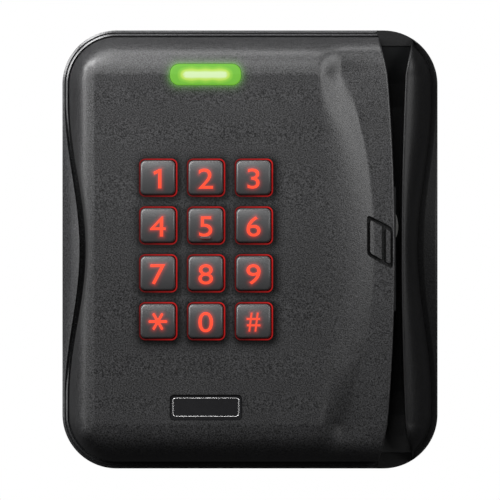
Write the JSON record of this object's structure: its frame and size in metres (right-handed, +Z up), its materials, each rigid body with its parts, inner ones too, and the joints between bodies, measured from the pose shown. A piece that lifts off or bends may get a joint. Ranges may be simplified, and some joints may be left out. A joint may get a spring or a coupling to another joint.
{
  "type": "keypad access reader",
  "caption": "Wall-mounted access reader with a backlit keypad, a status light and a vertical card swipe slot, on a wall plate.",
  "frame": {"origin": "centre of the wall plate's back face", "axes": "+X to the right seen from the front, +Z up, +Y into the wall, so the front faces -Y"},
  "size_m": [0.1109, 0.0325, 0.1296],
  "materials": {
    "housing_black": "fine moulded texture",
    "plate_black": "moulded",
    "screw_steel": "zinc plated",
    "bezel_grey": "grained",
    "gasket_rubber": "soft",
    "cover_charcoal": "spark-eroded grain",
    "badge": "gloss with a silver line",
    "lens_green": "lit translucent",
    "circuit_board": "solder mask",
    "led_body": "clear resin",
    "rail_black": "satin",
    "head_metal": "polished nose",
    "flex_amber": "polyimide film",
    "red_light": "lit translucent",
    "connector_black": "moulded",
    "capacitor_can": "satin",
    "terminal_green": "moulded",
    "coil_copper": "enamelled wire",
    "key_grey": "satin"
  },
  "bodies": {
    "reader_body": {"backlight_leds": "led_body", "badge_plate": "badge", "bezel_frame": "bezel_grey", "board_header": "connector_black", "board_screws": "screw_steel", "buzzer": "connector_black", "capacitors": "capacitor_can", "cover_gasket": "gasket_rubber", "cover_screws": "screw_steel", "dome_mat": "gasket_rubber", "front_cover": "cover_charcoal", "head_bracket": "screw_steel", "head_flex": "flex_amber", "head_screws": "screw_steel", "head_spring": "screw_steel", "keypad_board": "circuit_board", "keypad_light_frame": "red_light", "keypad_screws": "screw_steel", "lock_screw": "screw_steel", "main_board": "circuit_board", "mounting_plate": "plate_black", "processor_chips": "connector_black", "prox_coil": "coil_copper", "rail_screws": "screw_steel", "rear_housing": "housing_black", "slot_floor": "housing_black", "slot_guide": "housing_black", "status_leds": "led_body", "status_lens": "lens_green", "status_light_board": "circuit_board", "swipe_rail": "rail_black", "tamper_sensor": "connector_black", "terminal_block": "terminal_green", "terminal_screws": "screw_steel"},
    "key_0": {"key_0": "key_grey"},
    "key_1": {"key_1": "key_grey"},
    "key_2": {"key_2": "key_grey"},
    "key_3": {"key_3": "key_grey"},
    "key_4": {"key_4": "key_grey"},
    "key_5": {"key_5": "key_grey"},
    "key_6": {"key_6": "key_grey"},
    "key_7": {"key_7": "key_grey"},
    "key_8": {"key_8": "key_grey"},
    "key_9": {"key_9": "key_grey"},
    "key_hash": {"key_hash": "key_grey"},
    "key_star": {"key_star": "key_grey"},
    "stripe_head": {"magnetic_head": "head_metal"}
  },
  "joints": [
    {"name": "key_0_press", "type": "slide", "parent": "reader_body", "child": "key_0", "axis": [0, 1, 0], "range_m": [0, 0.001], "stiffness_N_per_m": 900, "deforming": ["dome_mat"]},
    {"name": "key_1_press", "type": "slide", "parent": "reader_body", "child": "key_1", "axis": [0, 1, 0], "range_m": [0, 0.001], "stiffness_N_per_m": 900, "deforming": ["dome_mat"]},
    {"name": "key_2_press", "type": "slide", "parent": "reader_body", "child": "key_2", "axis": [0, 1, 0], "range_m": [0, 0.001], "stiffness_N_per_m": 900, "deforming": ["dome_mat"]},
    {"name": "key_3_press", "type": "slide", "parent": "reader_body", "child": "key_3", "axis": [0, 1, 0], "range_m": [0, 0.001], "stiffness_N_per_m": 900, "deforming": ["dome_mat"]},
    {"name": "key_4_press", "type": "slide", "parent": "reader_body", "child": "key_4", "axis": [0, 1, 0], "range_m": [0, 0.001], "stiffness_N_per_m": 900, "deforming": ["dome_mat"]},
    {"name": "key_5_press", "type": "slide", "parent": "reader_body", "child": "key_5", "axis": [0, 1, 0], "range_m": [0, 0.001], "stiffness_N_per_m": 900, "deforming": ["dome_mat"]},
    {"name": "key_6_press", "type": "slide", "parent": "reader_body", "child": "key_6", "axis": [0, 1, 0], "range_m": [0, 0.001], "stiffness_N_per_m": 900, "deforming": ["dome_mat"]},
    {"name": "key_7_press", "type": "slide", "parent": "reader_body", "child": "key_7", "axis": [0, 1, 0], "range_m": [0, 0.001], "stiffness_N_per_m": 900, "deforming": ["dome_mat"]},
    {"name": "key_8_press", "type": "slide", "parent": "reader_body", "child": "key_8", "axis": [0, 1, 0], "range_m": [0, 0.001], "stiffness_N_per_m": 900, "deforming": ["dome_mat"]},
    {"name": "key_9_press", "type": "slide", "parent": "reader_body", "child": "key_9", "axis": [0, 1, 0], "range_m": [0, 0.001], "stiffness_N_per_m": 900, "deforming": ["dome_mat"]},
    {"name": "key_hash_press", "type": "slide", "parent": "reader_body", "child": "key_hash", "axis": [0, 1, 0], "range_m": [0, 0.001], "stiffness_N_per_m": 900, "deforming": ["dome_mat"]},
    {"name": "key_star_press", "type": "slide", "parent": "reader_body", "child": "key_star", "axis": [0, 1, 0], "range_m": [0, 0.001], "stiffness_N_per_m": 900, "deforming": ["dome_mat"]},
    {"name": "head_float", "type": "slide", "parent": "reader_body", "child": "stripe_head", "axis": [-1, 0, 0], "range_m": [0, 0.0008], "stiffness_N_per_m": 900, "deforming": ["head_spring"]}
  ]
}
